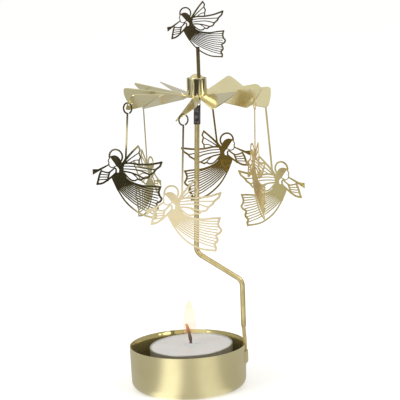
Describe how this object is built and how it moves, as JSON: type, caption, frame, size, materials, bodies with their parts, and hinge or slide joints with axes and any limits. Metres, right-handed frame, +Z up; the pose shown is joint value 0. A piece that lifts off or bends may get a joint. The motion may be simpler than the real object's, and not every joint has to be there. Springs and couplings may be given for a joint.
{
  "type": "angel chime carousel",
  "caption": "Tealight cup with a bent wire post clipped over its wall, carrying a needle-borne stamped rotor hung with etched angels on open rings and topped by one more",
  "frame": {"origin": "middle of the cup's flat underside", "axes": "+Z is up along the post, +X points from the cup's middle to the post's foot on the cup's wall"},
  "size_m": [0.0938, 0.078, 0.177],
  "materials": {
    "satin_brass": "satin pale brass outside, polished inside",
    "rod_brass": "drawn brass wire, softly polished",
    "dark_crimp": "dark crimped tube, mottled",
    "needle_steel": "plain steel needle",
    "mirror_brass": "mirror polished pale brass sheet",
    "etched_brass": "etched thin brass sheet",
    "tin": "thin drawn aluminium",
    "white_wax": "smooth white candle wax",
    "burnt_wick": "charred cotton"
  },
  "bodies": {
    "stand": {"cup": "satin_brass", "stand_rod": "rod_brass", "needle_sleeve": "dark_crimp", "pivot_needle": "needle_steel"},
    "carousel": {"rotor": "mirror_brass", "hub_collar": "mirror_brass", "bearing_cap": "mirror_brass", "top_angel": "etched_brass"},
    "angel_1": {"charm_1": "etched_brass"},
    "angel_2": {"charm_2": "etched_brass"},
    "angel_3": {"charm_3": "etched_brass"},
    "angel_4": {"charm_4": "etched_brass"},
    "angel_5": {"charm_5": "etched_brass"},
    "angel_6": {"charm_6": "etched_brass"},
    "candle": {"tealight_cup": "tin", "wax": "white_wax", "wick": "burnt_wick", "wick_holder": "tin"}
  },
  "joints": [
    {"name": "carousel_spin", "type": "hinge", "parent": "stand", "child": "carousel", "pos_m": [0.0086, 0, 0.1346], "axis": [0, 0, 1], "continuous": true},
    {"name": "charm_1_swing", "type": "hinge", "parent": "carousel", "child": "angel_1", "pos_m": [-0.02068, -0.01492, 0.13279], "axis": [0.2079, 0.9781, 0], "range_deg": [-10, 25]},
    {"name": "charm_2_swing", "type": "hinge", "parent": "carousel", "child": "angel_2", "pos_m": [-0.01917, 0.01764, 0.13488], "axis": [-0.8572, -0.515, 0], "range_deg": [-10, 12]},
    {"name": "charm_3_swing", "type": "hinge", "parent": "carousel", "child": "angel_3", "pos_m": [0.00639, -0.03232, 0.12922], "axis": [-0.342, 0.9397, 0], "range_deg": [-8, 10]},
    {"name": "charm_4_swing", "type": "hinge", "parent": "carousel", "child": "angel_4", "pos_m": [0.01081, 0.03281, 0.13245], "axis": [0.3584, -0.9336, 0], "range_deg": [-8, 12]},
    {"name": "charm_5_swing", "type": "hinge", "parent": "carousel", "child": "angel_5", "pos_m": [0.03786, 0.01472, 0.13155], "axis": [-0.3584, -0.9336, 0], "range_deg": [-10, 25]},
    {"name": "charm_6_swing", "type": "hinge", "parent": "carousel", "child": "angel_6", "pos_m": [0.03625, -0.01786, 0.13404], "axis": [0.9397, 0.342, 0], "range_deg": [-8, 8]},
    {"name": "tealight_lift", "type": "slide", "parent": "stand", "child": "candle", "axis": [0, 0, 1], "range_m": [0, 0.02]}
  ]
}
